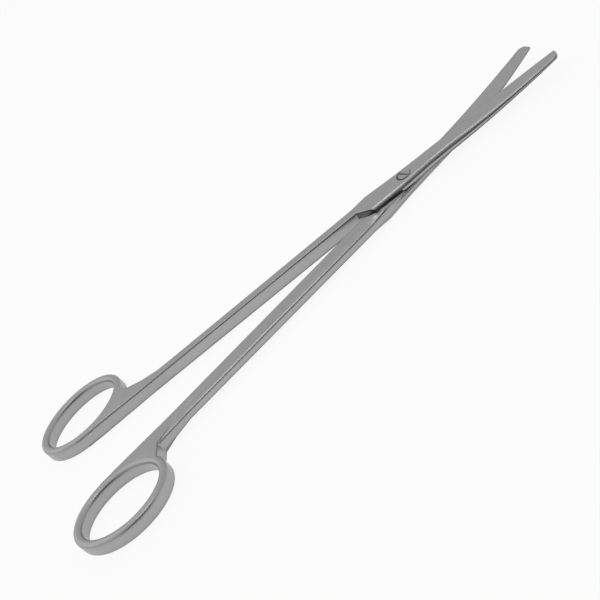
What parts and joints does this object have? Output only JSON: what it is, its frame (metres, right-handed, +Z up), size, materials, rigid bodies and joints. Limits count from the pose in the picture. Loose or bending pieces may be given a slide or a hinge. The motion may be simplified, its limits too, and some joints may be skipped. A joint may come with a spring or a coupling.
{
  "type": "dissecting scissors",
  "caption": "Slender scissors with two finger rings, long tapering shanks, a lap joint held by a slotted screw, and short blunt-tipped blades that curve up.",
  "frame": {"origin": "on the screw's axis at the underside of the joint", "axes": "+X towards the blade tips along the middle line of the opened scissors, +Z up along the screw towards its slotted head and the side that the blades curve to"},
  "size_m": [0.1966, 0.0772, 0.0059],
  "materials": {
    "satin_steel": "satin ground stainless steel",
    "screw_steel": "turned and slotted stainless steel"
  },
  "bodies": {
    "lower": {"lower_half": "satin_steel", "pivot_screw": "screw_steel"},
    "upper": {"upper_half": "satin_steel"}
  },
  "joints": [
    {"name": "pivot", "type": "hinge", "parent": "lower", "child": "upper", "pos_m": [0, 0, 0.0025], "axis": [0, 0, -1], "range_deg": [-11.9, 58]}
  ]
}
